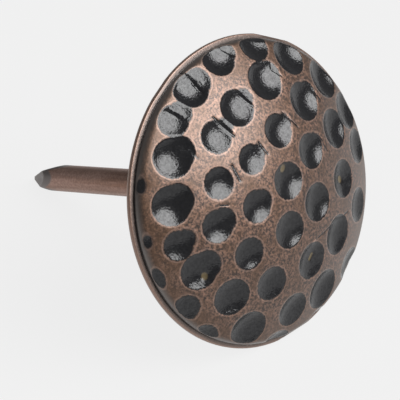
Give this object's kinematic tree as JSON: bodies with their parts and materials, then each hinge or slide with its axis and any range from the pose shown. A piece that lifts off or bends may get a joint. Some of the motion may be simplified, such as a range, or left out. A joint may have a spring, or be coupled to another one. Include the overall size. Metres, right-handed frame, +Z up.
{
  "type": "upholstery tack",
  "caption": "Decorative upholstery tack: a hammered, hollow dome head on a straight round wire nail with a cut point.",
  "frame": {"origin": "centre of the bounding box's bottom, on the ground that the tack rests on", "axes": "+Z up, +X the way the head's crown faces along the ground; the nail's axis lies in the XZ plane and rises towards +X, +Y to the left of it"},
  "size_m": [0.0248, 0.019, 0.0176],
  "materials": {
    "antique_copper": "antiqued copper plating on pressed steel, dark in the dimples and rubbed bright on the ridges",
    "plated_wire": "thin antiqued copper plating on drawn steel wire, satin"
  },
  "bodies": {
    "root": {"domed_cap": "antique_copper", "nail_shank": "plated_wire"}
  },
  "joints": []
}
